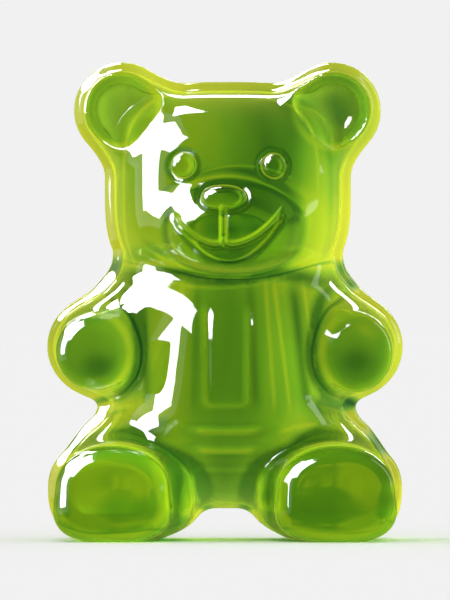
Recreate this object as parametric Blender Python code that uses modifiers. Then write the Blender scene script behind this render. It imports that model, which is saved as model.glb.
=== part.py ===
# Gummy bear sweet, moulded in one piece from green fruit jelly.
#
# The bear stands on the flat undersides of its two feet, facing -Y, with the flat back it had in
# the mould towards +Y. It is a mould relief: a point is given by x (its left to right), z (up) and
# t, the depth forward of the back, all in millimetres. form() gives the distance from a point to
# the sweet's skin, and the mesh is drawn onto that skin before it is scaled to metres.

import math

import bmesh
import bpy
import numpy as np
from mathutils import Matrix

MM = 0.001
# Each pass meshes the form anew with cells of this size, and settles it this far outside the skin.
# Coming to the skin from a little outside keeps the rims and ridges evenly covered.
PASSES = ((0.30, 0.15), (0.21, 0.06), (0.16, 0.0))
TRIANGLES = 9400      # triangles left after the mesh is thinned
FLAT_BAND = 0.03      # what lies this close to the ground is part of a foot's flat underside

# An outline in the x-z plane is (centre x, centre z, half width, half height).
# A peg has one outline at the back, another at its front, and a rounded shoulder, given as its
# width seen from the front and its depth seen from the side.

HEAD = {"middle": (0.11, 16.25), "radii": (5.69, 4.84), "depth": 8.4, "square": 3.3, "profile": 2.5}
# Above its waist the front of the torso narrows by this share of the height.
TORSO = {"middle": (0.05, 7.7), "radii": (5.5, 6.1), "depth": 8.5, "square": 3.8, "profile": 2.2,
         "taper": 0.16, "waist": 5.0}
NECK = (0.05, 12.2, 5.0, 2.4)
HIPS = {"from": (-3.3, 4.0), "to": (3.35, 4.0), "radii": (3.75, 2.4), "depth": 6.4}

EAR = {"radius": 2.24, "crest": 2.14, "front": 5.0, "round": (0.5, 0.7), "crown": 0.0}
DISH = {"radius": 1.32, "inner_radius": 1.25, "mouth": 4.9, "depth": 1.5, "shift": (0.45, -0.25)}

SHOULDER = {"depth": 6.0, "profile": 2.2, "fillet": 1.3}
ARM = {"front": 7.1, "round": (1.2, 1.3), "crown": 0.55}
THIGH = {"front": 8.2, "round": (1.1, 1.6), "crown": 0.5, "square": 2.3}
LIMB_FILLET = 0.55
FOOT = {"front": 10.5, "round": (1.4, 1.5), "crown": 0.6, "square_top": 2.1, "square_sole": 2.9}

# A thin rim runs round the back, where the jelly stood level with the top of the mould. It fades
# out from this height down to the soles.
RIM = {"width": 0.42, "thick": 1.15, "blend": 0.9, "above": 2.6}

# The two sides of a hand-cut mould differ a little.
SIDES = {
    "left": {
        "ear": (-4.77, 19.76),
        "shoulder": ((-5.78, 8.87), (-3.44, 10.47), (2.24, 2.23), (2.46, 2.46)),
        "arm": ((-5.45, 8.87, 2.68, 2.29), (-6.10, 8.59, 2.11, 2.18)),
        "thigh": ((-3.90, 2.27, 3.03, 2.29), (-3.99, 2.27, 2.80, 2.15)),
        "foot": ((-5.09, 2.38, 3.12, 2.40), (-5.18, 2.38, 2.98, 2.44)),
    },
    "right": {
        "ear": (4.95, 19.76),
        "shoulder": ((5.78, 8.87), (3.53, 10.47), (2.21, 2.25), (2.62, 2.62)),
        "arm": ((5.50, 8.87, 2.57, 2.29), (6.10, 8.55, 1.99, 2.25)),
        "thigh": ((4.08, 2.27, 3.16, 2.29), (4.17, 2.27, 2.93, 2.15)),
        "foot": ((5.04, 2.38, 3.12, 2.40), (5.04, 2.38, 3.07, 2.44)),
    },
}

SNOUT = {"back": (0.50, 14.55, 3.39, 2.43), "front": (0.41, 14.55, 2.84, 1.97), "depth": 9.0,
         "round": (1.5, 1.4), "crown": 0.6}
MUZZLE = {"back": (0.23, 14.23, 3.03, 2.06), "front": (0.18, 14.37, 2.75, 1.83), "depth": 9.75,
          "round": (1.3, 1.2), "crown": 0.8}
# The nose and the eyes each sit in a shallow moat.
NOSE = {"middle": (-0.09, 15.67), "radii": (1.03, 0.58), "root": 8.8, "depth": 1.0,
        "moat": 0.24, "moat_width": 0.26}
EYE = {"middles": ((-1.93, 17.14), (2.20, 17.12)), "radius": 0.55, "root": 7.95,
       "moat": 0.24, "moat_width": 0.28}

PHILTRUM = {"x": -0.09, "low": 13.68, "high": 15.15, "depth": 0.34, "width": 0.24}
UPPER_LIP = {"low": 13.45, "rise": 1.24, "left": 2.25, "right": 2.43, "power": 2.2, "peak": 0.18}
LOWER_LIP = {"x": 0.16, "low": 12.63, "rise": 1.93, "half": 2.48}
SMILE = {"depth": 0.45, "groove": 0.34, "groove_width": 0.26,
         "corner_depth": 0.16, "corner_width": 0.30}
SMILE_CORNERS = ((-2.29, 14.74), (2.55, 14.70))

BELLY_X = 0.09
BELLY_FOLDS = ((4.97, 1.05), (4.08, 0.95), (3.16, 0.70))   # height and half length of each
FOLD = {"depth": 0.24, "width": 0.36, "droop": 0.03}
PANEL = {"half": 0.95, "corner": 0.35, "low": 6.17, "high": 10.6, "depth": 0.13, "width": 0.34}

BACK = {"hollow": 0.22, "reach": 1.8, "round": 0.38}   # the back sinks a little as the jelly sets

FACE_BOX = (-2.9, 3.2, 12.2, 17.9, 7.0)   # x from and to, z from and to, and the least depth

GREEN = (0.18, 0.46, 0.03, 1.0)


def rounded(a):
    return np.maximum(a, 0.0)


def join(a, b, radius):
    """Both shapes, with a fillet of this radius where they meet."""
    return np.maximum(radius, np.minimum(a, b)) - np.hypot(rounded(radius - a), rounded(radius - b))


def common(a, b, radius):
    """What lies in both shapes, with the edge rounded."""
    return -join(-a, -b, radius)


def cut(a, b, radius):
    """The first shape without the second, with the edge rounded."""
    return -join(-a, b, radius)


def outline(dx, dz, rx, rz, square):
    """Distance in the plane to an ellipse, squarer as `square` rises above 2."""
    u, v = np.abs(dx) / rx, np.abs(dz) / rz
    g = np.maximum((u**square + v**square) ** (1 / square), 1e-6)
    slope = np.hypot((u / g) ** (square - 1) / rx, (v / g) ** (square - 1) / rz)
    return (g - 1) / np.maximum(slope, 1e-6)


def dome(dx, t, dz, radii, depth, square=2.0, profile=2.0):
    """Distance to a dome on the back plane, fuller as `square` and `profile` rise above 2."""
    u, v, w = np.abs(dx) / radii[0], np.abs(dz) / radii[1], np.abs(t) / depth
    a = np.maximum((u**square + v**square) ** (1 / square), 1e-6)
    g = (a**profile + w**profile) ** (1 / profile)
    side = (a / g) ** (profile - 1)
    slope_x = side * (u / a) ** (square - 1) / radii[0]
    slope_z = side * (v / a) ** (square - 1) / radii[1]
    slope_t = (w / g) ** (profile - 1) / depth
    slope = np.sqrt(slope_x**2 + slope_z**2 + slope_t**2)
    return (g - 1) / np.maximum(slope, 1e-6)


def long_dome(x, t, z, start, end, radii, end_radii, depth, profile):
    """A dome drawn out along the line from start to end."""
    run_x, run_z = end[0] - start[0], end[1] - start[1]
    share = ((x - start[0]) * run_x + (z - start[1]) * run_z) / (run_x**2 + run_z**2)
    share = np.clip(share, 0, 1)
    rx = radii[0] + (end_radii[0] - radii[0]) * share
    rz = radii[1] + (end_radii[1] - radii[1]) * share
    return dome(x - start[0] - run_x * share, t, z - start[1] - run_z * share, (rx, rz), depth, 2.0, profile)


def peg(x, t, z, back, front, shape, depth, square_top=2.0, square_low=2.0):
    """A limb or snout that tapers from one outline to another and ends in a crowned face."""
    share = np.clip(t / depth, 0, 1.2)
    middle_x, middle_z, rx, rz = (b + (f - b) * share for b, f in zip(back, front))
    square = np.where(z > middle_z, square_top, square_low)
    wide, deep = shape["round"]
    side = outline(x - middle_x, z - middle_z, rx, rz, square) + wide
    off_middle = ((x - front[0]) / front[2]) ** 2 + ((z - front[1]) / front[3]) ** 2
    face = (t - depth + shape["crown"] * np.minimum(off_middle, 2.0)) * wide / deep + wide
    return np.minimum(np.maximum(side, face), 0) + np.hypot(rounded(side), rounded(face)) - wide


def bell(distance, width):
    """1 on a line, falling smoothly to 0 at this distance from it."""
    return np.clip(1 - (distance / width) ** 2, 0, 1) ** 2


def ramp(value, width):
    """0 to 1, rising smoothly over this width about value 0."""
    share = np.clip(value / width + 0.5, 0, 1)
    return share * share * (3 - 2 * share)


def head(x, t, z):
    middle_x, middle_z = HEAD["middle"]
    shape = (HEAD["radii"], HEAD["depth"], HEAD["square"], HEAD["profile"])
    skull = dome(x - middle_x, t, z - middle_z, *shape)
    skin = skull
    for side in SIDES.values():
        back = (*side["ear"], EAR["radius"], EAR["radius"])
        crest = (*side["ear"], EAR["crest"], EAR["crest"])
        skin = join(skin, peg(x, t, z, back, crest, EAR, EAR["front"]), 0.95)
    for side in SIDES.values():
        ear_x, ear_z = side["ear"]
        inner = (ear_x - math.copysign(DISH["shift"][0], ear_x), ear_z + DISH["shift"][1])
        wide, narrow = (DISH["radius"],) * 2, (DISH["inner_radius"],) * 2
        dish = long_dome(x, t - DISH["mouth"], z, (ear_x, ear_z), inner, wide, narrow, DISH["depth"], 2.0)
        skin = cut(skin, cut(dish, skull, 0.25), 0.3)
    return skin


def torso(x, t, z):
    middle_x, middle_z = TORSO["middle"]
    above = z - TORSO["waist"]
    taper = TORSO["taper"] * (above + np.hypot(above, 1.0)) / 2 * t**2 / (t**2 + 4)
    radii = (np.maximum(TORSO["radii"][0] - taper, 1.0), TORSO["radii"][1])
    return dome(x - middle_x, t, z - middle_z, radii, TORSO["depth"], TORSO["square"], TORSO["profile"])


def body(x, t, z):
    skin = torso(x, t, z)
    hips = long_dome(x, t, z, HIPS["from"], HIPS["to"], HIPS["radii"], HIPS["radii"], HIPS["depth"], 2.2)
    skin = join(skin, hips, 0.8)
    for side in SIDES.values():
        shoulder = long_dome(x, t, z, *side["shoulder"], SHOULDER["depth"], SHOULDER["profile"])
        skin = join(skin, shoulder, SHOULDER["fillet"])
    for side in SIDES.values():
        skin = join(skin, peg(x, t, z, *side["arm"], ARM, ARM["front"]), LIMB_FILLET)
    for side in SIDES.values():
        thigh = peg(x, t, z, *side["thigh"], THIGH, THIGH["front"], THIGH["square"], THIGH["square"])
        skin = join(skin, thigh, LIMB_FILLET)
        foot = peg(x, t, z, *side["foot"], FOOT, FOOT["front"], FOOT["square_top"], FOOT["square_sole"])
        skin = join(skin, foot, LIMB_FILLET)
    return skin


def face(skin, x, t, z):
    snout = peg(x, t, z, SNOUT["back"], SNOUT["front"], SNOUT, SNOUT["depth"], 1.9, 2.3)
    skin = join(skin, snout, 1.1)
    muzzle = peg(x, t, z, MUZZLE["back"], MUZZLE["front"], MUZZLE, MUZZLE["depth"], 1.9, 2.3)
    skin = join(skin, muzzle, 0.5)
    nose_x, nose_z = NOSE["middle"]
    from_nose = outline(x - nose_x, z - nose_z, *NOSE["radii"], 2.2)
    skin = skin + NOSE["moat"] * bell(from_nose, NOSE["moat_width"]) * ramp(t - 7.2, 0.6)
    nose = dome(x - nose_x, t - NOSE["root"], z - nose_z, NOSE["radii"], NOSE["depth"], 2.2, 2.3)
    skin = join(skin, nose, 0.05)
    for eye_x, eye_z in EYE["middles"]:
        from_eye = np.hypot(x - eye_x, z - eye_z) - EYE["radius"]
        skin = skin + EYE["moat"] * bell(from_eye, EYE["moat_width"]) * ramp(t - 6.5, 0.6)
        eye = np.sqrt((x - eye_x) ** 2 + (t - EYE["root"]) ** 2 + (z - eye_z) ** 2) - EYE["radius"]
        skin = join(skin, eye, 0.04)
    return skin


def upper_lip(x):
    """Height of the upper lip: two cheeks that meet under the philtrum."""
    off = np.abs(x - PHILTRUM["x"])
    half = np.where(x < PHILTRUM["x"], UPPER_LIP["left"], UPPER_LIP["right"])
    peak = UPPER_LIP["peak"] * np.exp(-off / UPPER_LIP["peak"])
    return UPPER_LIP["low"] + UPPER_LIP["rise"] * (off / half) ** UPPER_LIP["power"] + peak


def lower_lip(x):
    return LOWER_LIP["low"] + LOWER_LIP["rise"] * ((x - LOWER_LIP["x"]) / LOWER_LIP["half"]) ** 2


def smile(x, t, z):
    """How far the mouth and the philtrum sink into the muzzle."""
    on_front = ramp(t - 7.2, 0.6)
    top, low = upper_lip(x), lower_lip(x)
    gap = np.maximum(top - low, 1e-3)
    between = ramp(LOWER_LIP["half"] - 0.06 - np.abs(x - LOWER_LIP["x"]), 0.2)
    inside = ramp(top - z, 0.14) * ramp(z - low - 0.10, 0.30) * ramp(gap - 0.12, 0.25) * between
    sunk = SMILE["depth"] * (0.55 + 0.45 * np.clip((z - low) / gap, 0, 1)) * inside
    slope = (upper_lip(x + 0.01) - upper_lip(x - 0.01)) / 0.02
    from_lip = np.abs(z - top) / np.hypot(1, slope)
    sunk = sunk + SMILE["groove"] * bell(from_lip, SMILE["groove_width"]) * between
    from_philtrum = np.hypot(x - PHILTRUM["x"], z - np.clip(z, PHILTRUM["low"], PHILTRUM["high"]))
    sunk = sunk + PHILTRUM["depth"] * bell(from_philtrum, PHILTRUM["width"])
    for corner_x, corner_z in SMILE_CORNERS:
        from_corner = np.hypot(x - corner_x, z - corner_z)
        sunk = sunk + SMILE["corner_depth"] * bell(from_corner, SMILE["corner_width"])
    return sunk * on_front


def belly_lines(x, t, z):
    """How far the folds under the belly and the faint panel line on it sink in."""
    off = np.abs(x - BELLY_X)
    sunk = np.zeros_like(x)
    for height, half in BELLY_FOLDS:
        from_fold = np.hypot(0.4 * rounded(off - half), z - height - FOLD["droop"] * off**2)
        sunk = sunk + FOLD["depth"] * bell(from_fold, FOLD["width"])
    past_side = off - PANEL["half"] + PANEL["corner"]
    past_low = PANEL["low"] + PANEL["corner"] - z
    from_panel = np.hypot(rounded(past_side), rounded(past_low))
    from_panel = from_panel + np.minimum(np.maximum(past_side, past_low), 0)
    line = bell(from_panel - PANEL["corner"], PANEL["width"]) * ramp(PANEL["high"] - z, 0.8)
    return (sunk + PANEL["depth"] * line) * ramp(t - 6.0, 0.6)


def form(x, t, z):
    """Distance from a point to the skin of the bear, negative inside it."""
    skin = join(head(x, t, z), body(x, t, z), 0.85)
    inset = rounded(-skin)
    fading = ramp(z - RIM["above"] / 2, RIM["above"])
    skin = skin + RIM["width"] * ramp(t - RIM["thick"], RIM["blend"]) * fading
    skin = face(skin, x, t, z) + smile(x, t, z) + belly_lines(x, t, z)
    sinking = BACK["hollow"] * ramp(inset - BACK["reach"] / 2, BACK["reach"])
    skin = common(skin, sinking - t, BACK["round"])
    return np.maximum(skin, -z)


def add_blob(mesh, x, z, rx, rz, depth):
    """A squashed ball from the back to this depth."""
    ball = bmesh.ops.create_uvsphere(mesh, u_segments=32, v_segments=16, radius=1.0)
    place = Matrix.Translation((x, -depth / 2, z)) @ Matrix.Diagonal((rx, depth / 2, rz, 1.0))
    bmesh.ops.transform(mesh, matrix=place, verts=ball["verts"])


def rough_form():
    """The bear as overlapping balls, which the remesh then makes one skin."""
    mesh = bmesh.new()
    add_blob(mesh, *HEAD["middle"], *HEAD["radii"], HEAD["depth"])
    add_blob(mesh, *TORSO["middle"], *TORSO["radii"], TORSO["depth"])
    add_blob(mesh, *NECK, SHOULDER["depth"])
    add_blob(mesh, *MUZZLE["back"], MUZZLE["depth"])
    add_blob(mesh, *NOSE["middle"], *NOSE["radii"], NOSE["root"] + NOSE["depth"])
    add_blob(mesh, TORSO["middle"][0], HIPS["from"][1], 7.0, HIPS["radii"][1], HIPS["depth"])
    for side in SIDES.values():
        add_blob(mesh, *side["ear"], EAR["radius"], EAR["radius"], EAR["front"])
        add_blob(mesh, *side["arm"][0], ARM["front"])
        add_blob(mesh, *side["thigh"][0], THIGH["front"])
        add_blob(mesh, *side["foot"][0], FOOT["front"])
    data = bpy.data.meshes.new("gummy_bear_rough")
    mesh.to_mesh(data)
    mesh.free()
    return data


def with_modifier(data, kind, **settings):
    """A new mesh: the given one with a modifier applied."""
    holder = bpy.data.objects.new("holder", data)
    bpy.context.scene.collection.objects.link(holder)
    modifier = holder.modifiers.new(kind.title(), kind)
    for name, value in settings.items():
        setattr(modifier, name, value)
    graph = bpy.context.evaluated_depsgraph_get()
    result = bpy.data.meshes.new_from_object(holder.evaluated_get(graph))
    bpy.data.objects.remove(holder)
    bpy.data.meshes.remove(data)
    return result


def points_of(data):
    points = np.empty(len(data.vertices) * 3)
    data.vertices.foreach_get("co", points)
    return points.reshape(-1, 3)


def skin_at(points):
    """The distance of each point from the skin, and the slope of that distance."""
    step = 0.01
    x, t, z = points[:, 0], -points[:, 1], points[:, 2]
    off = form(x, t, z)
    slope = [form(x + step, t, z) - off, off - form(x, t + step, z), form(x, t, z + step) - off]
    return off, np.stack(slope, axis=1) / step


def settle(data, rounds, evening, outside=0.0):
    """Draws the points onto the skin, or this far outside it, and evens out their spacing."""
    points = points_of(data)
    ends = np.empty(len(data.edges) * 2, np.int32)
    data.edges.foreach_get("vertices", ends)
    first, second = ends.reshape(-1, 2).T
    neighbours = np.bincount(ends)[:, None]
    for _ in range(rounds):
        off, slope = skin_at(points)
        squared = np.maximum((slope**2).sum(axis=1), 0.3)
        total = np.zeros_like(points)
        np.add.at(total, first, points[second])
        np.add.at(total, second, points[first])
        slide = evening * (total / neighbours - points)
        slide -= slope * ((slide * slope).sum(axis=1) / squared)[:, None]
        points += slide + slope * np.clip((outside - off) / squared, -0.4, 0.4)[:, None]
    data.vertices.foreach_set("co", points.ravel())
    data.update()


def green_jelly():
    material = bpy.data.materials.new("green_jelly")
    material.use_nodes = True
    shader = material.node_tree.nodes["Principled BSDF"]
    shader.inputs["Base Color"].default_value = GREEN
    shader.inputs["Roughness"].default_value = 0.12
    shader.inputs["Metallic"].default_value = 0.0
    return material


def refine_face(data):
    """Splits the faces round the eyes, nose and mouth, which are finer than the rest."""
    mesh = bmesh.new()
    mesh.from_mesh(data)
    low_x, high_x, low_z, high_z, front = FACE_BOX
    near = [
        edge for edge in mesh.edges
        if all(
            low_x < end.co.x < high_x and low_z < end.co.z < high_z and end.co.y < -front
            for end in edge.verts
        )
    ]
    bmesh.ops.subdivide_edges(mesh, edges=near, cuts=2, use_grid_fill=True)
    bmesh.ops.triangulate(mesh, faces=mesh.faces)
    mesh.to_mesh(data)
    mesh.free()


def gummy_bear():
    data = rough_form()
    for cell, outside in PASSES:
        data = with_modifier(data, "REMESH", mode="VOXEL", voxel_size=cell)
        settle(data, 12, 0.6, outside)
    refine_face(data)
    settle(data, 6, 0.3)
    settle(data, 3, 0.0)
    triangles = sum(len(face.vertices) - 2 for face in data.polygons)
    print("fine form:", len(data.vertices), "points,", triangles, "triangles")
    data = with_modifier(data, "DECIMATE", ratio=TRIANGLES / triangles, use_collapse_triangulate=True)

    points = points_of(data)
    points[:, 2] = np.where(points[:, 2] < FLAT_BAND, 0.0, points[:, 2])
    low, high = points.min(axis=0), points.max(axis=0)
    points[:, :2] -= (low[:2] + high[:2]) / 2
    data.vertices.foreach_set("co", (points * MM).ravel())
    data.shade_smooth()
    data.name = "gummy_bear"
    data.materials.append(green_jelly())
    return bpy.data.objects.new("gummy_bear", data)


def main():
    for old in list(bpy.data.objects):
        bpy.data.objects.remove(old, do_unlink=True)
    collection = bpy.data.collections.new("Gummy bear")
    bpy.context.scene.collection.children.link(collection)
    collection.objects.link(gummy_bear())


main()
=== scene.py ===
# A green gummy bear: one piece of clear fruit jelly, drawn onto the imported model's frame.
#
# The bear is a mould relief. x is its left to right, z is up and t is the depth forward of its
# flat back, all in millimetres. form() gives the distance from a point to its skin, and the mesh
# is pushed onto that skin the way a sculptor smooths a block, then brought to metres.

import math

import bmesh
import bpy
import numpy as np
from mathutils import Matrix, Vector


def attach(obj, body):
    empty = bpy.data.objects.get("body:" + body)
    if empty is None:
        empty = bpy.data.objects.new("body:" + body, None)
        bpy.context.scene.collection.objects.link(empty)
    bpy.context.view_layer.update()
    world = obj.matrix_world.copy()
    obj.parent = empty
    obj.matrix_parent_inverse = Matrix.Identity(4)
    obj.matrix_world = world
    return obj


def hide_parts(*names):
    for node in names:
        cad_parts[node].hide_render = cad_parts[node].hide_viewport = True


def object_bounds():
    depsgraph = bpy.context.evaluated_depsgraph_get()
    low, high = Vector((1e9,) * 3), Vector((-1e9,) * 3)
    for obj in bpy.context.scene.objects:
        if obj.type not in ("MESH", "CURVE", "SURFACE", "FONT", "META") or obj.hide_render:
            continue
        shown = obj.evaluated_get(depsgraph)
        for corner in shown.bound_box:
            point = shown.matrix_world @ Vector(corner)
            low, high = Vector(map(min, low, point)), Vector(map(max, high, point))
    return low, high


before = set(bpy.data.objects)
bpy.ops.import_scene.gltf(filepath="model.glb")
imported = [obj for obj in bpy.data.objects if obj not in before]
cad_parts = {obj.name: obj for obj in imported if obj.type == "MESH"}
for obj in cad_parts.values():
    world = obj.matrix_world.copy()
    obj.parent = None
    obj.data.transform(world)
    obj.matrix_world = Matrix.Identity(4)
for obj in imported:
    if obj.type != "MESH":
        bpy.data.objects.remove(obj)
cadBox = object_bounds()
print("frame loaded, CAD box", cadBox)

mm = 0.001
cadBack = cadBox[1][1] / mm         # the back plane, from which t is measured

bear = {
    # a pass is a cell size and how far outside the skin it settles
    "passes": ((0.30, 0.15), (0.21, 0.06), (0.16, 0.0)),
    "flatBand": 0.03,               # what lies this close to the floor is a foot's flat underside
    # centre x and z, half width and half height; a peg has one such outline behind, one in front
    "head": {"middle": (0.11, 16.25), "radii": (5.69, 4.84), "depth": 8.4, "square": 3.3, "profile": 2.5},
    "torso": {"middle": (0.05, 7.7), "radii": (5.5, 6.1), "depth": 8.5, "square": 3.8,
              "profile": 2.2, "taper": 0.16, "waist": 5.0},
    "neck": (0.05, 12.2, 5.0, 2.4),
    "hips": {"from": (-3.3, 4.0), "to": (3.35, 4.0), "radii": (3.75, 2.4), "depth": 6.4},
    "ear": {"radius": 2.24, "crest": 2.14, "front": 5.0, "round": (0.5, 0.7), "crown": 0.0},
    "dish": {"radius": 1.32, "innerRadius": 1.25, "mouth": 4.9, "depth": 1.5, "shift": (0.45, -0.25)},
    "shoulder": {"depth": 6.0, "profile": 2.2, "fillet": 1.3},
    "arm": {"front": 7.1, "round": (1.2, 1.3), "crown": 0.55},
    "thigh": {"front": 8.2, "round": (1.1, 1.6), "crown": 0.5, "square": 2.3},
    "foot": {"front": 10.5, "round": (1.4, 1.5), "crown": 0.6, "squareTop": 2.1, "squareSole": 2.9},
    # a thin rim runs round the back, where the jelly stood level with the mould
    "rim": {"width": 0.42, "thick": 1.15, "blend": 0.9, "above": 2.6},
    "limbFillet": 0.55,
    "sides": (                      # a hand-cut mould is never quite the same on both sides
        {
            "ear": (-4.77, 19.76),
            "shoulder": ((-5.78, 8.87), (-3.44, 10.47), (2.24, 2.23), (2.46, 2.46)),
            "arm": ((-5.45, 8.87, 2.68, 2.29), (-6.10, 8.59, 2.11, 2.18)),
            "thigh": ((-3.90, 2.27, 3.03, 2.29), (-3.99, 2.27, 2.80, 2.15)),
            "foot": ((-5.09, 2.38, 3.12, 2.40), (-5.18, 2.38, 2.98, 2.44)),
        },
        {
            "ear": (4.95, 19.76),
            "shoulder": ((5.78, 8.87), (3.53, 10.47), (2.21, 2.25), (2.62, 2.62)),
            "arm": ((5.50, 8.87, 2.57, 2.29), (6.10, 8.55, 1.99, 2.25)),
            "thigh": ((4.08, 2.27, 3.16, 2.29), (4.17, 2.27, 2.93, 2.15)),
            "foot": ((5.04, 2.38, 3.12, 2.40), (5.04, 2.38, 3.07, 2.44)),
        },
    ),
    "snout": {"back": (0.50, 14.55, 3.39, 2.43), "front": (0.41, 14.55, 2.84, 1.97), "depth": 9.0,
              "round": (1.5, 1.4), "crown": 0.6},
    "muzzle": {"back": (0.23, 14.23, 3.03, 2.06), "front": (0.18, 14.37, 2.75, 1.83), "depth": 9.75,
               "round": (1.3, 1.2), "crown": 0.8},
    "nose": {"middle": (-0.09, 15.67), "radii": (1.03, 0.58), "root": 8.8, "depth": 1.0,
             "moat": 0.24, "moatWidth": 0.26},
    "eye": {"middles": ((-1.93, 17.14), (2.20, 17.12)), "radius": 0.55, "root": 7.95,
            "moat": 0.24, "moatWidth": 0.28},
    "philtrum": {"x": -0.09, "low": 13.68, "high": 15.15, "depth": 0.34, "width": 0.24},
    "upperLip": {"low": 13.45, "rise": 1.24, "left": 2.25, "right": 2.43, "power": 2.2, "peak": 0.18},
    "lowerLip": {"x": 0.16, "low": 12.63, "rise": 1.93, "half": 2.48},
    "smile": {"depth": 0.45, "groove": 0.34, "grooveWidth": 0.26, "cornerDepth": 0.16,
              "cornerWidth": 0.30, "corners": ((-2.29, 14.74), (2.55, 14.70))},
    "bellyX": 0.09,
    "bellyFolds": ((4.97, 1.05), (4.08, 0.95), (3.16, 0.70)),
    "fold": {"depth": 0.24, "width": 0.36, "droop": 0.03},
    "panel": {"half": 0.95, "corner": 0.35, "low": 6.17, "high": 10.6, "depth": 0.13, "width": 0.34},
    "back": {"hollow": 0.22, "reach": 1.8, "round": 0.38},
    "faceBox": (-2.9, 3.2, 12.2, 17.9, 7.0),   # x from and to, z from and to, and the least depth
}


def rounded(a):
    return np.maximum(a, 0.0)


def join(a, b, radius):             # both shapes, with a fillet where they meet
    return np.maximum(radius, np.minimum(a, b)) - np.hypot(rounded(radius - a), rounded(radius - b))


def common(a, b, radius):           # what lies in both shapes, with the edge rounded
    return -join(-a, -b, radius)


def cut(a, b, radius):              # the first shape without the second, with the edge rounded
    return -join(-a, b, radius)


def outline(dx, dz, rx, rz, square):            # an ellipse, squarer as square rises above 2
    u, v = np.abs(dx) / rx, np.abs(dz) / rz
    g = np.maximum((u**square + v**square) ** (1 / square), 1e-6)
    slope = np.hypot((u / g) ** (square - 1) / rx, (v / g) ** (square - 1) / rz)
    return (g - 1) / np.maximum(slope, 1e-6)


def dome(dx, t, dz, radii, depth, square=2.0, profile=2.0):     # a dome on the back plane
    u, v, w = np.abs(dx) / radii[0], np.abs(dz) / radii[1], np.abs(t) / depth
    a = np.maximum((u**square + v**square) ** (1 / square), 1e-6)
    g = (a**profile + w**profile) ** (1 / profile)
    side = (a / g) ** (profile - 1)
    slopeX = side * (u / a) ** (square - 1) / radii[0]
    slopeZ = side * (v / a) ** (square - 1) / radii[1]
    slopeT = (w / g) ** (profile - 1) / depth
    return (g - 1) / np.maximum(np.sqrt(slopeX**2 + slopeZ**2 + slopeT**2), 1e-6)


def longDome(x, t, z, start, end, radii, endRadii, depth, profile):   # a dome drawn out on a line
    runX, runZ = end[0] - start[0], end[1] - start[1]
    share = np.clip(((x - start[0]) * runX + (z - start[1]) * runZ) / (runX**2 + runZ**2), 0, 1)
    rx = radii[0] + (endRadii[0] - radii[0]) * share
    rz = radii[1] + (endRadii[1] - radii[1]) * share
    offX, offZ = x - start[0] - runX * share, z - start[1] - runZ * share
    return dome(offX, t, offZ, (rx, rz), depth, 2.0, profile)


def peg(x, t, z, back, front, shape, depth, squareTop=2.0, squareLow=2.0):   # a limb or a snout
    share = np.clip(t / depth, 0, 1.2)
    middleX, middleZ, rx, rz = (b + (f - b) * share for b, f in zip(back, front))
    square = np.where(z > middleZ, squareTop, squareLow)
    wide, deep = shape["round"]
    side = outline(x - middleX, z - middleZ, rx, rz, square) + wide
    offMiddle = ((x - front[0]) / front[2]) ** 2 + ((z - front[1]) / front[3]) ** 2
    pad = (t - depth + shape["crown"] * np.minimum(offMiddle, 2.0)) * wide / deep + wide
    return np.minimum(np.maximum(side, pad), 0) + np.hypot(rounded(side), rounded(pad)) - wide


def bell(distance, width):          # 1 on a line, falling smoothly to 0
    return np.clip(1 - (distance / width) ** 2, 0, 1) ** 2


def ramp(value, width):             # 0 to 1, rising smoothly about value 0
    share = np.clip(value / width + 0.5, 0, 1)
    return share * share * (3 - 2 * share)


def headForm(x, t, z):
    skullShape, ear, dishShape = bear["head"], bear["ear"], bear["dish"]
    middleX, middleZ = skullShape["middle"]
    shape = (skullShape["radii"], skullShape["depth"], skullShape["square"], skullShape["profile"])
    skull = dome(x - middleX, t, z - middleZ, *shape)
    skin = skull
    for side in bear["sides"]:
        back = (*side["ear"], ear["radius"], ear["radius"])
        crest = (*side["ear"], ear["crest"], ear["crest"])
        skin = join(skin, peg(x, t, z, back, crest, ear, ear["front"]), 0.95)
    for side in bear["sides"]:
        earX, earZ = side["ear"]
        inner = (earX - math.copysign(dishShape["shift"][0], earX), earZ + dishShape["shift"][1])
        wide, narrow = (dishShape["radius"],) * 2, (dishShape["innerRadius"],) * 2
        fromMouth = t - dishShape["mouth"]
        dish = longDome(x, fromMouth, z, (earX, earZ), inner, wide, narrow, dishShape["depth"], 2.0)
        skin = cut(skin, cut(dish, skull, 0.25), 0.3)
    return skin


def torsoForm(x, t, z):             # its front is narrower towards the neck
    torso = bear["torso"]
    middleX, middleZ = torso["middle"]
    above = z - torso["waist"]
    taper = torso["taper"] * (above + np.hypot(above, 1.0)) / 2 * t**2 / (t**2 + 4)
    radii = (np.maximum(torso["radii"][0] - taper, 1.0), torso["radii"][1])
    shape = (radii, torso["depth"], torso["square"], torso["profile"])
    return dome(x - middleX, t, z - middleZ, *shape)


def bodyForm(x, t, z):
    hips, shoulder, fillet = bear["hips"], bear["shoulder"], bear["limbFillet"]
    arm, thigh, foot = bear["arm"], bear["thigh"], bear["foot"]
    skin = torsoForm(x, t, z)
    seat = longDome(x, t, z, hips["from"], hips["to"], hips["radii"], hips["radii"], hips["depth"], 2.2)
    skin = join(skin, seat, 0.8)
    for side in bear["sides"]:
        rounding = longDome(x, t, z, *side["shoulder"], shoulder["depth"], shoulder["profile"])
        skin = join(skin, rounding, shoulder["fillet"])
    for side in bear["sides"]:
        skin = join(skin, peg(x, t, z, *side["arm"], arm, arm["front"]), fillet)
    for side in bear["sides"]:
        leg = peg(x, t, z, *side["thigh"], thigh, thigh["front"], thigh["square"], thigh["square"])
        skin = join(skin, leg, fillet)
        sole = peg(x, t, z, *side["foot"], foot, foot["front"], foot["squareTop"], foot["squareSole"])
        skin = join(skin, sole, fillet)
    return skin


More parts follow.
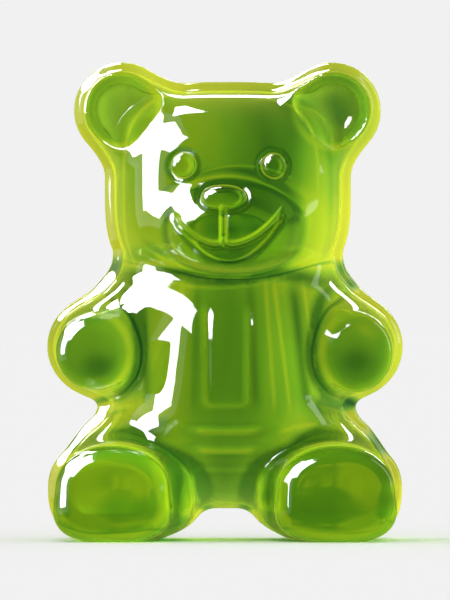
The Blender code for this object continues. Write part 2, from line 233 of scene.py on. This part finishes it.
def addFace(skin, x, t, z):
    snout, muzzle, nose, eye = bear["snout"], bear["muzzle"], bear["nose"], bear["eye"]
    skin = join(skin, peg(x, t, z, snout["back"], snout["front"], snout, snout["depth"], 1.9, 2.3), 1.1)
    skin = join(skin, peg(x, t, z, muzzle["back"], muzzle["front"], muzzle, muzzle["depth"], 1.9, 2.3), 0.5)
    noseX, noseZ = nose["middle"]
    fromNose = outline(x - noseX, z - noseZ, *nose["radii"], 2.2)
    skin = skin + nose["moat"] * bell(fromNose, nose["moatWidth"]) * ramp(t - 7.2, 0.6)
    tip = dome(x - noseX, t - nose["root"], z - noseZ, nose["radii"], nose["depth"], 2.2, 2.3)
    skin = join(skin, tip, 0.05)
    for eyeX, eyeZ in eye["middles"]:
        fromEye = np.hypot(x - eyeX, z - eyeZ) - eye["radius"]
        skin = skin + eye["moat"] * bell(fromEye, eye["moatWidth"]) * ramp(t - 6.5, 0.6)
        ball = np.sqrt((x - eyeX) ** 2 + (t - eye["root"]) ** 2 + (z - eyeZ) ** 2) - eye["radius"]
        skin = join(skin, ball, 0.04)
    return skin


def upperLipAt(x):                  # two cheeks that meet under the philtrum
    lip, middle = bear["upperLip"], bear["philtrum"]["x"]
    off = np.abs(x - middle)
    half = np.where(x < middle, lip["left"], lip["right"])
    peak = lip["peak"] * np.exp(-off / lip["peak"])
    return lip["low"] + lip["rise"] * (off / half) ** lip["power"] + peak


def lowerLipAt(x):
    lip = bear["lowerLip"]
    return lip["low"] + lip["rise"] * ((x - lip["x"]) / lip["half"]) ** 2


def smileDepth(x, t, z):            # how far the mouth and the philtrum sink into the muzzle
    smile, lip, philtrum = bear["smile"], bear["lowerLip"], bear["philtrum"]
    top, low = upperLipAt(x), lowerLipAt(x)
    gap = np.maximum(top - low, 1e-3)
    between = ramp(lip["half"] - 0.06 - np.abs(x - lip["x"]), 0.2)
    inside = ramp(top - z, 0.14) * ramp(z - low - 0.10, 0.30) * ramp(gap - 0.12, 0.25) * between
    sunk = smile["depth"] * (0.55 + 0.45 * np.clip((z - low) / gap, 0, 1)) * inside
    slope = (upperLipAt(x + 0.01) - upperLipAt(x - 0.01)) / 0.02
    fromLip = np.abs(z - top) / np.hypot(1, slope)
    sunk = sunk + smile["groove"] * bell(fromLip, smile["grooveWidth"]) * between
    fromPhiltrum = np.hypot(x - philtrum["x"], z - np.clip(z, philtrum["low"], philtrum["high"]))
    sunk = sunk + philtrum["depth"] * bell(fromPhiltrum, philtrum["width"])
    for cornerX, cornerZ in smile["corners"]:
        fromCorner = np.hypot(x - cornerX, z - cornerZ)
        sunk = sunk + smile["cornerDepth"] * bell(fromCorner, smile["cornerWidth"])
    return sunk * ramp(t - 7.2, 0.6)


def bellyDepth(x, t, z):            # the folds under the belly and the faint panel line on it
    fold, panel = bear["fold"], bear["panel"]
    off = np.abs(x - bear["bellyX"])
    sunk = np.zeros_like(x)
    for height, half in bear["bellyFolds"]:
        fromFold = np.hypot(0.4 * rounded(off - half), z - height - fold["droop"] * off**2)
        sunk = sunk + fold["depth"] * bell(fromFold, fold["width"])
    pastSide = off - panel["half"] + panel["corner"]
    pastLow = panel["low"] + panel["corner"] - z
    fromPanel = np.hypot(rounded(pastSide), rounded(pastLow))
    fromPanel = fromPanel + np.minimum(np.maximum(pastSide, pastLow), 0)
    line = bell(fromPanel - panel["corner"], panel["width"]) * ramp(panel["high"] - z, 0.8)
    return (sunk + panel["depth"] * line) * ramp(t - 6.0, 0.6)


def form(x, t, z):                  # distance to the bear's skin, negative inside it
    back = bear["back"]
    skin = join(headForm(x, t, z), bodyForm(x, t, z), 0.85)
    inset = rounded(-skin)
    rim = bear["rim"]
    fading = ramp(z - rim["above"] / 2, rim["above"])
    skin = skin + rim["width"] * ramp(t - rim["thick"], rim["blend"]) * fading
    skin = addFace(skin, x, t, z) + smileDepth(x, t, z) + bellyDepth(x, t, z)
    sinking = back["hollow"] * ramp(inset - back["reach"] / 2, back["reach"])
    skin = common(skin, sinking - t, back["round"])
    return np.maximum(skin, -z)


def addBlob(mesh, x, z, rx, rz, depth):         # a squashed ball from the back to this depth
    ball = bmesh.ops.create_uvsphere(mesh, u_segments=32, v_segments=16, radius=1.0)
    place = Matrix.Translation((x, -depth / 2, z)) @ Matrix.Diagonal((rx, depth / 2, rz, 1.0))
    bmesh.ops.transform(mesh, matrix=place, verts=ball["verts"])


def roughForm():                    # overlapping balls, which the remesh makes one skin
    mesh = bmesh.new()
    nose, hips = bear["nose"], bear["hips"]
    addBlob(mesh, *bear["head"]["middle"], *bear["head"]["radii"], bear["head"]["depth"])
    addBlob(mesh, *bear["torso"]["middle"], *bear["torso"]["radii"], bear["torso"]["depth"])
    addBlob(mesh, *bear["neck"], bear["shoulder"]["depth"])
    addBlob(mesh, *bear["muzzle"]["back"], bear["muzzle"]["depth"])
    addBlob(mesh, *nose["middle"], *nose["radii"], nose["root"] + nose["depth"])
    addBlob(mesh, bear["torso"]["middle"][0], hips["from"][1], 7.0, hips["radii"][1], hips["depth"])
    for side in bear["sides"]:
        addBlob(mesh, *side["ear"], bear["ear"]["radius"], bear["ear"]["radius"], bear["ear"]["front"])
        for limb in ("arm", "thigh", "foot"):
            addBlob(mesh, *side[limb][0], bear[limb]["front"])
    data = bpy.data.meshes.new("gummyBearRough")
    mesh.to_mesh(data)
    mesh.free()
    return data


def remeshed(data, cell):           # a new mesh with one even skin
    holder = bpy.data.objects.new("holder", data)
    bpy.context.scene.collection.objects.link(holder)
    modifier = holder.modifiers.new("Remesh", "REMESH")
    modifier.mode = "VOXEL"
    modifier.voxel_size = cell
    graph = bpy.context.evaluated_depsgraph_get()
    result = bpy.data.meshes.new_from_object(holder.evaluated_get(graph))
    bpy.data.objects.remove(holder)
    bpy.data.meshes.remove(data)
    return result


def pointsOf(data):
    points = np.empty(len(data.vertices) * 3)
    data.vertices.foreach_get("co", points)
    return points.reshape(-1, 3)


def skinAt(points):                 # each point's distance from the skin, and that distance's slope
    step = 0.01
    x, t, z = points[:, 0], -points[:, 1], points[:, 2]
    off = form(x, t, z)
    slope = [form(x + step, t, z) - off, off - form(x, t + step, z), form(x, t, z + step) - off]
    return off, np.stack(slope, axis=1) / step


def settle(data, rounds, evening, outside=0.0):     # draws points onto the skin, evenly spread
    points = pointsOf(data)
    ends = np.empty(len(data.edges) * 2, np.int32)
    data.edges.foreach_get("vertices", ends)
    first, second = ends.reshape(-1, 2).T
    neighbours = np.bincount(ends)[:, None]
    for _ in range(rounds):
        off, slope = skinAt(points)
        squared = np.maximum((slope**2).sum(axis=1), 0.3)
        total = np.zeros_like(points)
        np.add.at(total, first, points[second])
        np.add.at(total, second, points[first])
        slide = evening * (total / neighbours - points)
        slide -= slope * ((slide * slope).sum(axis=1) / squared)[:, None]
        points += slide + slope * np.clip((outside - off) / squared, -0.4, 0.4)[:, None]
    data.vertices.foreach_set("co", points.ravel())
    data.update()


def refineFace(data):               # smaller faces round the eyes, nose and mouth
    mesh = bmesh.new()
    mesh.from_mesh(data)
    lowX, highX, lowZ, highZ, front = bear["faceBox"]
    near = [
        edge for edge in mesh.edges
        if all(
            lowX < end.co.x < highX and lowZ < end.co.z < highZ and end.co.y < -front
            for end in edge.verts
        )
    ]
    bmesh.ops.subdivide_edges(mesh, edges=near, cuts=2, use_grid_fill=True)
    bmesh.ops.triangulate(mesh, faces=mesh.faces)
    mesh.to_mesh(data)
    mesh.free()


def jellyMesh():
    data = roughForm()
    for cell, outside in bear["passes"]:
        data = remeshed(data, cell)
        settle(data, 12, 0.6, outside)
        print("settled at a cell of", cell, "mm:", len(data.vertices), "points")
    refineFace(data)
    settle(data, 6, 0.3)
    settle(data, 3, 0.0)
    points = pointsOf(data)
    skinNormals = skinAt(points)[1]
    points[:, 2] = np.where(points[:, 2] < bear["flatBand"], 0.0, points[:, 2])
    low, high = points.min(axis=0), points.max(axis=0)
    points[:, :2] -= (low[:2] + high[:2]) / 2
    data.vertices.foreach_set("co", (points * mm).ravel())
    data.shade_smooth()
    return data, skinNormals


# painted light and shade on the green, from 0, deep, through 0.5 to 1, yellow. Each patch is a
# painted highlight or painted shade: (x, z, half width, half height, how much lighter or deeper)
paintedLightAndShade = {
    "middle": 0.5,
    "paintedLightShadePatches": (
        (-2.6, 17.6, 1.6, 2.6, 0.18), (2.2, 17.7, 1.9, 2.6, -0.36), (4.1, 17.0, 0.7, 3.4, 0.36),
        (-3.2, 14.2, 1.5, 1.6, 0.34), (3.7, 13.7, 1.6, 1.9, 0.42), (-1.4, 15.3, 1.2, 1.0, 0.38),
        (0.5, 12.3, 2.2, 0.5, -0.20), (0.4, 8.6, 1.5, 3.8, -0.24), (-2.3, 9.0, 0.9, 3.4, 0.34),
        (1.9, 9.0, 1.0, 3.0, 0.16), (-4.7, 19.6, 1.2, 1.2, -0.06), (5.0, 19.6, 1.4, 1.4, -0.40),
        (0.0, 2.6, 0.95, 1.0, -0.34), (-5.9, 8.4, 1.0, 1.0, -0.10), (6.2, 8.3, 1.1, 1.1, -0.14),
        (-5.2, 2.6, 2.4, 1.7, 0.48), (5.1, 2.6, 2.4, 1.7, 0.46), (5.2, 2.0, 1.4, 0.6, -0.10),
        (-4.9, 5.9, 1.3, 0.6, 0.40), (4.9, 6.1, 0.8, 0.5, -0.36), (4.9, 11.4, 0.9, 0.7, 0.24),
        (-4.7, 11.3, 1.0, 0.7, 0.36), (0.0, 1.4, 1.3, 0.4, 0.4),
        (-3.6, 13.1, 0.9, 0.35, -0.45), (-1.6, 1.5, 0.5, 0.6, 0.50), (1.7, 1.4, 0.4, 0.5, 0.30),
        (-2.2, 3.0, 0.4, 0.6, -0.50), (-4.1, 4.85, 1.1, 0.28, -0.50), (4.2, 4.75, 1.1, 0.25, -0.40),
        (-3.3, 6.1, 0.8, 0.5, 0.45), (-3.95, 9.0, 0.32, 1.9, -0.30), (-5.8, 8.0, 0.7, 0.5, -0.30),
        (6.0, 8.2, 0.7, 0.5, -0.25), (-5.1, 2.9, 0.7, 0.5, -0.30), (5.3, 3.1, 0.8, 0.5, -0.10),
        (-4.45, 2.2, 0.20, 0.55, 0.45), (-4.95, 2.7, 0.16, 0.35, 0.30), (5.95, 2.5, 0.20, 0.50, 0.40),
        (-3.6, 5.2, 0.9, 0.5, -0.20), (3.2, 4.9, 0.6, 1.2, 0.22), (5.6, 10.6, 0.8, 0.6, 0.35),
        (4.6, 6.2, 0.7, 0.5, -0.30), (0.0, 18.3, 1.4, 1.4, 0.12), (-3.0, 12.6, 1.3, 0.3, 0.30),
        (6.6, 10.2, 0.6, 0.8, 0.40), (-5.5, 5.9, 0.5, 0.7, 0.40), (4.4, 3.4, 1.2, 0.5, 0.35),
    ),
    # painted highlight and painted shade lines down the front: x at the foot of the line, x at its top, half
    # width, tone
    "paintedLightShadeStreaks": (
        (-2.75, -1.95, 0.20, 0.50), (-1.45, -1.25, 0.24, -0.22), (1.45, 1.15, 0.34, -0.26),
        (2.25, 1.85, 0.14, 0.40), (2.95, 2.25, 0.13, 0.44), (3.75, 3.10, 0.42, -0.50),
        (-3.55, -3.75, 0.30, -0.40),
        (4.35, 3.60, 0.13, 0.40),
    ),
    "streakSpan": (6.2, 11.7),
    # painted highlight and painted shade curves across the front: middle x, z there, how it bends, x from
    # and to, half width, tone
    "paintedLightShadeArcs": (
        (0.1, 16.65, -0.124, -3.4, 4.0, 0.12, 0.50), (0.1, 16.95, -0.115, -2.9, 3.7, 0.22, -0.30),
        (0.7, 17.12, -0.10, -1.0, 3.0, 0.08, 0.40), (0.2, 12.10, 0.085, -3.4, 1.4, 0.14, 0.75),
        (0.2, 12.38, 0.085, -3.8, 3.4, 0.22, -0.26), (0.3, 11.78, 0.030, -4.2, 4.0, 0.18, -0.30),
        (-0.4, 11.55, 0.05, -4.2, 4.2, 0.12, 0.34), (-4.3, 5.2, 0.10, -6.0, -2.6, 0.30, -0.30),
        (4.2, 5.3, -0.12, 2.6, 6.2, 0.14, 0.40),
    ),
    # painted highlight and painted shade along outlines on the front: middle x and z, half width and
    # height, squareness, x from and to, half width, tone
    "paintedLightShadeFrames": (
        (0.1, 16.0, 4.15, 4.30, 3.4, 1.3, 6.0, 0.11, 0.55),
        (0.1, 16.0, 4.75, 4.60, 3.4, 1.3, 6.0, 0.22, -0.20),
        (0.1, 16.0, 4.75, 4.62, 3.4, -6.0, -1.0, 0.12, 0.40),
    ),
    # painted shade in the creases where two parts meet
    "creaseShade": -0.80, "creaseShadeWidth": 0.8,
    # painted highlight: a lighter loop round the pads and the ear dishes
    "ringHighlight": 0.42, "ringHighlightWidth": 0.30,
    # painted highlight: light lines along the lips, the philtrum, the belly folds and the panel, and round
    # the eyes and nose
    "lip": 0.55,
    # painted shade in the mouth line, the lower lip and the philtrum
    "groove": -0.60,
    # painted shade inside the mouth
    "mouth": -0.35,
    # painted shade: a deeper green edge round the eyes and the nose
    "rim": -0.75,
    "back": 0.42, "backReach": 2.4,  # the back and the thin edges are lighter, a painted glow of light through the thin jelly
}


# painted light and shade over the jelly's skin, as a tone from 0, deep, to 1, yellow
def paintedLightAndShadeAt(x, t, z):
    skull, hips = bear["head"], bear["hips"]
    snout, muzzle, nose, eye = (bear[name] for name in ("snout", "muzzle", "nose", "eye"))
    lip, philtrum, panel, fold = bear["lowerLip"], bear["philtrum"], bear["panel"], bear["fold"]
    tone = np.full_like(x, paintedLightAndShade["middle"])
    for middleX, middleZ, wide, high, step in paintedLightAndShade["paintedLightShadePatches"]:
        away = ((x - middleX) / wide) ** 2 + ((z - middleZ) / high) ** 2
        tone = tone + step * np.exp(-0.7 * away**1.5)
    onFront = ramp(t - 5.5, 1.0)
    for middleX, middleZ, bend, low, high, width, step in paintedLightAndShade["paintedLightShadeArcs"]:
        off = x - middleX
        line = bell((z - middleZ - bend * off**2) / np.hypot(1, 2 * bend * off), width)
        tone = tone + step * line * ramp(x - low, 0.6) * ramp(high - x, 0.6) * onFront
    for middleX, middleZ, wide, high, square, low, far, width, step in paintedLightAndShade["paintedLightShadeFrames"]:
        line = bell(outline(x - middleX, z - middleZ, wide, high, square), width) * ramp(z - 12.8, 1.4)
        tone = tone + step * line * ramp(x - low, 1.0) * ramp(far - x, 1.0) * ramp(t - 3.0, 1.0)
    low, high = paintedLightAndShade["streakSpan"]
    share = np.clip((z - low) / (high - low), 0, 1)
    for footX, topX, width, step in paintedLightAndShade["paintedLightShadeStreaks"]:
        line = bell(x - footX - (topX - footX) * share, width)
        tone = tone + step * line * ramp(z - low, 1.2) * ramp(high - z, 1.2) * ramp(t - 5.0, 1.0)
    shape = (skull["radii"], skull["depth"], skull["square"], skull["profile"])
    parts = [dome(x - skull["middle"][0], t, z - skull["middle"][1], *shape)]
    seat = longDome(x, t, z, hips["from"], hips["to"], hips["radii"], hips["radii"], hips["depth"], 2.2)
    parts.append(np.minimum(torsoForm(x, t, z), seat))
    # painted highlight loops round the pads and the ear dishes
    ringHighlight = np.zeros_like(x)
    for side in bear["sides"]:
        parts.append(peg(x, t, z, *side["arm"], bear["arm"], bear["arm"]["front"]))
        foot, thigh = bear["foot"], bear["thigh"]
        parts.append(peg(x, t, z, *side["thigh"], thigh, thigh["front"], thigh["square"], thigh["square"]))
        parts.append(peg(x, t, z, *side["foot"], foot, foot["front"], foot["squareTop"], foot["squareSole"]))
        for limb, square in (("arm", 2.0), ("foot", 2.4)):
            middleX, middleZ, rx, rz = side[limb][1]
            edge = outline(x - middleX, z - middleZ, rx, rz, square) + 0.35
            ringHighlight = ringHighlight + bell(edge, paintedLightAndShade["ringHighlightWidth"]) * ramp(t - bear[limb]["front"] + 1.6, 0.8)
        earX, earZ = side["ear"]
        edge = np.hypot(x - earX, z - earZ) - 1.75
        ringHighlight = ringHighlight + bell(edge, paintedLightAndShade["ringHighlightWidth"]) * ramp(t - 3.6, 0.8)
    for face in (snout, muzzle):
        parts.append(peg(x, t, z, face["back"], face["front"], face, face["depth"], 1.9, 2.3))
    noseX, noseZ = nose["middle"]
    onFace = ramp(t - 6.8, 0.6)
    beads = [(outline(x - noseX, z - noseZ, *nose["radii"], 2.2), x - noseX, z - noseZ, 0.55)]
    for eyeX, eyeZ in eye["middles"]:
        beads.append((np.hypot(x - eyeX, z - eyeZ) - eye["radius"], x - eyeX, z - eyeZ, 0.22))
    for edge, offX, offZ, lit in beads:     # painted shade on the edge, a painted highlight line round it and a painted highlight on one side
        tone = tone + paintedLightAndShade["rim"] * bell(edge - 0.12, 0.26) * onFace
        tone = tone + paintedLightAndShade["lip"] * bell(edge + 0.22, 0.12) * ramp(offX - lit, 0.3) * onFace
    # painted shade where the two nearest parts are about as near as each other, that is in the creases
    # between them
    ranked = np.sort(np.stack(parts), axis=0)
    tone = tone + paintedLightAndShade["creaseShade"] * bell(ranked[1] - ranked[0], paintedLightAndShade["creaseShadeWidth"])
    top, bottom = upperLipAt(x), lowerLipAt(x)
    between = ramp(lip["half"] + 0.05 - np.abs(x - lip["x"]), 0.2) * onFace
    inside = ramp(top - z - 0.12, 0.2) * ramp(z - bottom, 0.25) * between
    slope = (upperLipAt(x + 0.01) - upperLipAt(x - 0.01)) / 0.02
    fromTop = (z - top) / np.hypot(1, slope)
    lipSlope = (lowerLipAt(x + 0.01) - lowerLipAt(x - 0.01)) / 0.02
    fromLow = (z - bottom) / np.hypot(1, lipSlope)
    fromPhiltrum = np.hypot(x - philtrum["x"], z - np.clip(z, philtrum["low"], philtrum["high"]))
    # painted highlight lines along the lips and the philtrum
    line = bell(fromTop - 0.17, 0.13) * between + bell(fromLow - 0.16, 0.10) * between
    line = line + bell(fromPhiltrum - 0.14, 0.09) * onFace
    # painted shade in the grooves of the mouth, lower lip and philtrum
    paintedGrooveShade = bell(fromTop, 0.13) * between + 0.8 * bell(fromLow + 0.08, 0.16) * between
    paintedGrooveShade = paintedGrooveShade + bell(fromPhiltrum, 0.09) * onFace
    tone = tone + paintedLightAndShade["groove"] * np.minimum(paintedGrooveShade, 1)
    off = np.abs(x - bear["bellyX"])
    onBelly = ramp(t - 6.0, 0.6)
    # painted highlight along each belly fold, and painted shade just under it
    for height, half in bear["bellyFolds"]:
        fromFold = np.hypot(0.4 * rounded(off - half), z - height - fold["droop"] * off**2)
        line = line + 0.8 * bell(fromFold, 0.2) * onBelly
        tone = tone - 0.12 * bell(fromFold - 0.3, 0.25) * onBelly
    pastSide = off - panel["half"] + panel["corner"]
    pastLow = panel["low"] + panel["corner"] - z
    fromPanel = np.hypot(rounded(pastSide), rounded(pastLow))
    fromPanel = fromPanel + np.minimum(np.maximum(pastSide, pastLow), 0)
    # painted highlight along the panel line
    panelHighlight = bell(fromPanel - panel["corner"], 0.16) * ramp(panel["high"] - z, 0.8)
    line = line + 0.7 * panelHighlight * onBelly
    # painted shade inside the mouth, kept off the painted highlight lines
    tone = tone + paintedLightAndShade["mouth"] * inside * (1 - np.minimum(line, 1))
    # the painted highlight loops and lines go on here
    tone = tone + paintedLightAndShade["ringHighlight"] * np.minimum(ringHighlight, 1.2) + paintedLightAndShade["lip"] * np.minimum(line, 1.1)
    # the back and the thin edges get a painted glow
    return np.clip(tone + paintedLightAndShade["back"] * ramp(paintedLightAndShade["backReach"] - t, 1.6), 0, 1)


jelly = {
    # what the skin takes out of the light it lets through, where the green is deep, mid and light
    "deep": (0.02, 0.12, 0.03),
    "mid": (0.25, 0.56, 0.06),
    "light": (1.0, 1.0, 0.07),
    "clear": 1.0,
    "roughness": 0.05,
    "ior": 1.45,
    "sheen": 0.8,                    # the glow of the thin edges
    "sheenRoughness": 0.35,
    "sheenTint": (0.85, 0.95, 0.06),
    "absorbColour": (0.50, 0.76, 0.10),
    "absorbDensity": 230.0,
    "cloud": 0.25,
}


class Maths:                        # shader maths written as ordinary sums
    def __init__(self, tree, socket):
        self.tree, self.socket = tree, socket

    def worked(self, operation, first, second):
        node = self.tree.nodes.new("ShaderNodeMath")
        node.operation = operation
        for place, value in zip(node.inputs, (first, second)):
            if isinstance(value, Maths):
                self.tree.links.new(value.socket, place)
            else:
                place.default_value = value
        return Maths(self.tree, node.outputs[0])

    def __add__(self, other):
        return self.worked("ADD", self, other)

    def __radd__(self, other):
        return self.worked("ADD", other, self)

    def __sub__(self, other):
        return self.worked("SUBTRACT", self, other)

    def __rsub__(self, other):
        return self.worked("SUBTRACT", other, self)

    def __mul__(self, other):
        return self.worked("MULTIPLY", self, other)

    def __rmul__(self, other):
        return self.worked("MULTIPLY", other, self)


class Finish:                       # a material that is being made
    def __init__(self, name, tree=None):
        if tree is None:
            self.material = bpy.data.materials.new(name)
            self.material.use_nodes = True
            tree = self.material.node_tree
        self.tree = tree
        self.tree.nodes.clear()

    def node(self, kind, settings=None, **sockets):
        node = self.tree.nodes.new("ShaderNode" + kind)
        for name, value in (settings or {}).items():
            setattr(node, name, value)
        for name, value in sockets.items():
            self.plug(node.inputs[name.replace("_", " ")], value)
        return node

    def plug(self, socket, value):
        if isinstance(value, Maths):
            self.tree.links.new(value.socket, socket)
        elif isinstance(value, bpy.types.NodeSocket):
            self.tree.links.new(value, socket)
        else:
            socket.default_value = value


def jellyFinish():
    finish = Finish("greenJelly")
    place = finish.node("TexCoord").outputs["Object"]
    grain = finish.node("TexNoise", {"noise_dimensions": "3D"}, Vector=place, Scale=900.0, Detail=2.0)
    bump = finish.node("Bump", Strength=0.05, Distance=0.00002, Height=grain.outputs["Fac"])
    drawn = finish.node("Mapping", Vector=place, Scale=(900.0, 500.0, 220.0))
    cloud = finish.node(
        "TexNoise", {"noise_dimensions": "3D"}, Vector=drawn.outputs[0], Scale=1.0, Detail=1.0
    )
    # the painted light and shade from the tone attribute, with random cloudy variation in the green
    tone = Maths(finish.tree, finish.node("Attribute", {"attribute_name": "tone"}).outputs["Fac"])
    tone = tone + (Maths(finish.tree, cloud.outputs["Fac"]) - 0.5) * jelly["cloud"]
    half = finish.node("MapRange", Value=tone, From_Min=0.0, From_Max=0.5)
    upper = finish.node("MapRange", Value=tone, From_Min=0.5, From_Max=1.0)
    deep, mid, light = ((*jelly[name], 1.0) for name in ("deep", "mid", "light"))
    lower = finish.node("MixRGB", Fac=half.outputs[0], Color1=deep, Color2=mid)
    tint = finish.node("MixRGB", Fac=upper.outputs[0], Color1=lower.outputs[0], Color2=light)
    shader = finish.node(
        "BsdfPrincipled",
        Base_Color=tint.outputs[0],
        Roughness=jelly["roughness"],
        IOR=jelly["ior"],
        Normal=bump.outputs["Normal"],
        Transmission_Weight=jelly["clear"],
        Sheen_Weight=jelly["sheen"],
        Sheen_Roughness=jelly["sheenRoughness"],
        Sheen_Tint=(*jelly["sheenTint"], 1.0),
    )
    absorb = finish.node(
        "VolumeAbsorption", Color=(*jelly["absorbColour"], 1.0), Density=jelly["absorbDensity"]
    )
    output = finish.node("OutputMaterial")
    finish.plug(output.inputs["Surface"], shader.outputs[0])
    finish.plug(output.inputs["Volume"], absorb.outputs[0])
    return finish.material


def gummyBear():
    data, skinNormals = jellyMesh()
    data.normals_split_custom_set_from_vertices(
        (skinNormals / np.linalg.norm(skinNormals, axis=1)[:, None]).tolist()
    )
    points = pointsOf(data) / mm
    # the painted light and shade goes on the skin as the tone attribute
    tone = data.attributes.new("tone", "FLOAT", "POINT")
    tone.data.foreach_set("value", paintedLightAndShadeAt(points[:, 0], -points[:, 1] + cadBack, points[:, 2]))
    data.name = "gummyBear"
    data.materials.clear()
    data.materials.append(jellyFinish())
    piece = bpy.data.objects.new("gummyBearJelly", data)
    bpy.context.scene.collection.objects.link(piece)
    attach(piece, "root")
    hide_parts("gummy_bear")
    print("bear made:", len(data.polygons), "faces")
    return piece


studio = {
    "floorReach": 3.0,
    "floorGap": 0.00002,             # the soles touch the floor without sharing its plane
    "floorColour": (0.785, 0.785, 0.785),
    "skyColour": (1.0, 1.0, 1.0),
    "skyBack": 0.60,                 # the light behind the jelly, to its sides, above it,
    "skySides": 1.50,
    "skyTop": 1.20,
    "skyLean": -0.35,                # more from the left, which the right rim gathers
    "skySeen": 0.88,                 # and what stands behind it in the picture
    "skyGlint": 0.05,                # how bright the room is in the jelly's gloss
    "lens": 650.0,
    "frameHeight": 0.0275,           # what the picture's height spans at the bear
    "centre": (0.0, 0.0, 0.011),
}

softboxes = {
    # compass angle from the front, height angle, distance, width and height in metres, radiance
    # and whether it shines through the jelly or only glints on it
    "leftGlint": (-95, 33, 0.25, 0.145, 0.377, 30.0, False),
    "chestGlint": (-66, 44, 0.25, 0.11, 0.19, 30.0, False),
    "crownGlint": (-126, 39, 0.25, 0.11, 0.12, 30.0, False),
    "topGlint": (-161, 48, 0.25, 0.075, 0.10, 30.0, False),
    "backGlint": (178, 24, 0.30, 0.30, 0.03, 8.0, False),
    "rightGlint": (125, 25, 0.30, 0.05, 0.25, 1.5, False),
    "leftGlow": (-96, 30, 0.25, 0.30, 0.50, 1.0, False),
}


def roomGlow(finish, way):          # how bright the room is this way, seen through the jelly
    along = finish.node("SeparateXYZ", Vector=way)
    sideways = Maths(finish.tree, along.outputs["X"])
    upward = Maths(finish.tree, along.outputs["Z"])
    glow = studio["skyBack"] + sideways * sideways * (studio["skySides"] - studio["skyBack"])
    glow = glow + upward * upward * (studio["skyTop"] - studio["skyBack"])
    return glow + sideways * studio["skyLean"]


def glintOf(finish, ray):           # 1 for light on its way to a gloss on the jelly
    glossy = Maths(finish.tree, ray.outputs["Is Glossy Ray"])
    return glossy * Maths(finish.tree, ray.outputs["Is Reflection Ray"])


def floorStage():
    mesh = bmesh.new()
    bmesh.ops.create_circle(mesh, cap_ends=True, segments=96, radius=studio["floorReach"])
    data = bpy.data.meshes.new("floor")
    mesh.to_mesh(data)
    mesh.free()
    finish = Finish("paleFloor")
    pale = finish.node("BsdfDiffuse", Color=(*studio["floorColour"], 1.0))
    clear = finish.node("BsdfTransparent")
    place = finish.node("TexCoord").outputs["Object"]
    way = finish.node("VectorMath", {"operation": "NORMALIZE"}, Vector=place)
    glow = roomGlow(finish, way.outputs[0])
    behind = finish.node("Emission", Color=(*studio["skyColour"], 1.0), Strength=glow)
    ray = finish.node("LightPath")
    through = finish.node("MixShader", Fac=ray.outputs["Is Transmission Ray"])
    finish.plug(through.inputs[1], pale.outputs[0])
    finish.plug(through.inputs[2], behind.outputs[0])
    mixed = finish.node("MixShader", Fac=glintOf(finish, ray))
    finish.plug(mixed.inputs[1], through.outputs[0])
    finish.plug(mixed.inputs[2], clear.outputs[0])
    output = finish.node("OutputMaterial")
    finish.plug(output.inputs["Surface"], mixed.outputs[0])
    finish.material.cycles.emission_sampling = "NONE"
    data.materials.append(finish.material)
    data.transform(Matrix.Translation((0.0, 0.0, -studio["floorGap"])))
    floor = bpy.data.objects.new("floor", data)
    bpy.context.scene.collection.objects.link(floor)


def lightStudio():
    world = bpy.data.worlds.new("studio")
    world.use_nodes = True
    room = Finish("room", world.node_tree)
    way = room.node("TexCoord").outputs["Generated"]
    ray = room.node("LightPath")
    glint = glintOf(room, ray)
    seen = Maths(room.tree, ray.outputs["Is Camera Ray"])
    glow = roomGlow(room, way)
    strength = glow - glint * (glow - studio["skyGlint"])
    strength = strength - seen * (strength - studio["skySeen"])
    sky = room.node("Background", Color=(*studio["skyColour"], 1.0), Strength=strength)
    output = room.node("OutputWorld")
    room.plug(output.inputs["Surface"], sky.outputs[0])
    bpy.context.scene.world = world
    centre = Vector(studio["centre"])
    for name, (compass, height, away, wide, high, radiance, through) in softboxes.items():
        turn, tilt = math.radians(compass), math.radians(height)
        flat = math.cos(tilt)
        out = Vector((math.sin(turn) * flat, -math.cos(turn) * flat, math.sin(tilt)))
        light = bpy.data.lights.new(name, "AREA")
        light.shape = "RECTANGLE"
        light.size, light.size_y = wide, high
        light.energy = radiance * math.pi * wide * high
        box = bpy.data.objects.new(name, light)
        box.location = centre + out * away
        box.rotation_euler = (-out).to_track_quat("-Z", "Y").to_euler()
        box.visible_camera = False
        box.visible_diffuse = False
        box.visible_transmission = through
        bpy.context.scene.collection.objects.link(box)


def aimCamera():
    lens = bpy.data.cameras.new("camera")
    lens.lens = studio["lens"]
    lens.sensor_width = 36.0
    away = studio["frameHeight"] * studio["lens"] / lens.sensor_width
    lens.clip_start, lens.clip_end = 0.01, 20.0
    camera = bpy.data.objects.new("camera", lens)
    camera.location = Vector(studio["centre"]) + Vector((0.0, -away, 0.0))
    camera.rotation_euler = (math.radians(90), 0.0, 0.0)
    bpy.context.scene.collection.objects.link(camera)
    bpy.context.scene.camera = camera


gummyBear()
floorStage()
lightStudio()
aimCamera()
bpy.context.scene.view_settings.view_transform = "Standard"
tracing = bpy.context.scene.cycles
tracing.max_bounces, tracing.glossy_bounces, tracing.transmission_bounces = 24, 16, 24
print("studio ready")

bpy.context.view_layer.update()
